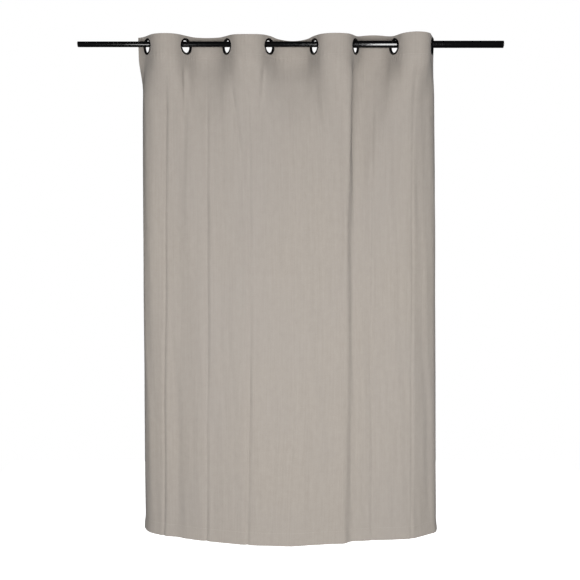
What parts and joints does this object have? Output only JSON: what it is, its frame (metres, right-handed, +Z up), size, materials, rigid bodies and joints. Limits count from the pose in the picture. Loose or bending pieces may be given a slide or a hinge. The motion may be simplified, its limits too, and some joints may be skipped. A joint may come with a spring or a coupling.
{
  "type": "eyelet curtain panel on a rod",
  "caption": "Linen-look curtain panel hanging in soft folds from black eyelets on a telescopic black rod.",
  "frame": {"origin": "middle of the rod's length, on the rod's axis", "axes": "+X along the rod to the right as seen from the room, +Y from the room towards the window, +Z up"},
  "size_m": [1.458, 0.2137, 1.8304],
  "materials": {
    "cloth": "matt linen weave with slubs",
    "tape": "stiff woven header tape",
    "label": "blank satin ribbon",
    "eyelet_black": "gloss black",
    "rod_black": "gloss black",
    "plastic_black": "satin black"
  },
  "bodies": {
    "rod": {"rod_outer_tube": "rod_black", "rod_guide_sleeve": "plastic_black", "rod_plug_right": "plastic_black"},
    "rod_inner": {"rod_inner_tube": "rod_black", "rod_plug_left": "plastic_black"},
    "strip_1": {"cloth_strip_1": "cloth", "header_tape_1": "tape", "eyelet_front_1": "eyelet_black", "eyelet_back_1": "eyelet_black"},
    "strip_2": {"cloth_strip_2": "cloth", "header_tape_2": "tape", "eyelet_front_2": "eyelet_black", "eyelet_back_2": "eyelet_black"},
    "strip_3": {"cloth_strip_3": "cloth", "header_tape_3": "tape", "eyelet_front_3": "eyelet_black", "eyelet_back_3": "eyelet_black"},
    "strip_4": {"cloth_strip_4": "cloth", "header_tape_4": "tape", "eyelet_front_4": "eyelet_black", "eyelet_back_4": "eyelet_black"},
    "strip_5": {"cloth_strip_5": "cloth", "header_tape_5": "tape", "eyelet_front_5": "eyelet_black", "eyelet_back_5": "eyelet_black"},
    "strip_6": {"cloth_strip_6": "cloth", "header_tape_6": "tape", "eyelet_front_6": "eyelet_black", "eyelet_back_6": "eyelet_black"},
    "strip_7": {"cloth_strip_7": "cloth", "header_tape_7": "tape", "eyelet_front_7": "eyelet_black", "eyelet_back_7": "eyelet_black"},
    "strip_8": {"cloth_strip_8": "cloth", "header_tape_8": "tape", "eyelet_front_8": "eyelet_black", "eyelet_back_8": "eyelet_black", "care_label": "label"}
  },
  "joints": [
    {"name": "rod_extend", "type": "slide", "parent": "rod", "child": "rod_inner", "axis": [-1, 0, 0], "range_m": [-0.15, 0.25]},
    {"name": "curtain_draw", "type": "hinge", "parent": "rod", "child": "strip_8", "pos_m": [0.486, 0, 0], "axis": [0, 0, 1], "range_deg": [0, 25], "deforming": ["cloth_strip_8", "header_tape_8"]},
    {"name": "fold_7", "type": "hinge", "parent": "strip_8", "child": "strip_7", "pos_m": [0.42193, -0.03, 0], "axis": [0, 0, 1], "range_deg": [-50.5, 0.5], "deforming": ["cloth_strip_7", "header_tape_7"]},
    {"name": "fold_6", "type": "hinge", "parent": "strip_7", "child": "strip_6", "pos_m": [0.291, 0.03, 0], "axis": [0, 0, 1], "range_deg": [-0.5, 50.5], "deforming": ["cloth_strip_6", "header_tape_6"]},
    {"name": "fold_5", "type": "hinge", "parent": "strip_6", "child": "strip_5", "pos_m": [0.1538, -0.03, 0], "axis": [0, 0, 1], "range_deg": [-50.5, 0.5], "deforming": ["cloth_strip_5", "header_tape_5"]},
    {"name": "fold_4", "type": "hinge", "parent": "strip_5", "child": "strip_4", "pos_m": [0.00616, 0.03, 0], "axis": [0, 0, 1], "range_deg": [-0.5, 50.5], "deforming": ["cloth_strip_4", "header_tape_4"]},
    {"name": "fold_3", "type": "hinge", "parent": "strip_4", "child": "strip_3", "pos_m": [-0.14357, -0.03, 0], "axis": [0, 0, 1], "range_deg": [-50.5, 0.5], "deforming": ["cloth_strip_3", "header_tape_3"]},
    {"name": "fold_2", "type": "hinge", "parent": "strip_3", "child": "strip_2", "pos_m": [-0.28634, 0.03, 0], "axis": [0, 0, 1], "range_deg": [-0.5, 50.5], "deforming": ["cloth_strip_2", "header_tape_2"]},
    {"name": "fold_1", "type": "hinge", "parent": "strip_2", "child": "strip_1", "pos_m": [-0.42284, -0.03, 0], "axis": [0, 0, 1], "range_deg": [-50.5, 0.5], "deforming": ["cloth_strip_1", "header_tape_1"]}
  ],
  "couplings": [
    {"joint": "fold_7", "follows": "curtain_draw", "ratio": -2},
    {"joint": "fold_6", "follows": "curtain_draw", "ratio": 2},
    {"joint": "fold_5", "follows": "curtain_draw", "ratio": -2},
    {"joint": "fold_4", "follows": "curtain_draw", "ratio": 2},
    {"joint": "fold_3", "follows": "curtain_draw", "ratio": -2},
    {"joint": "fold_2", "follows": "curtain_draw", "ratio": 2},
    {"joint": "fold_1", "follows": "curtain_draw", "ratio": -2}
  ]
}
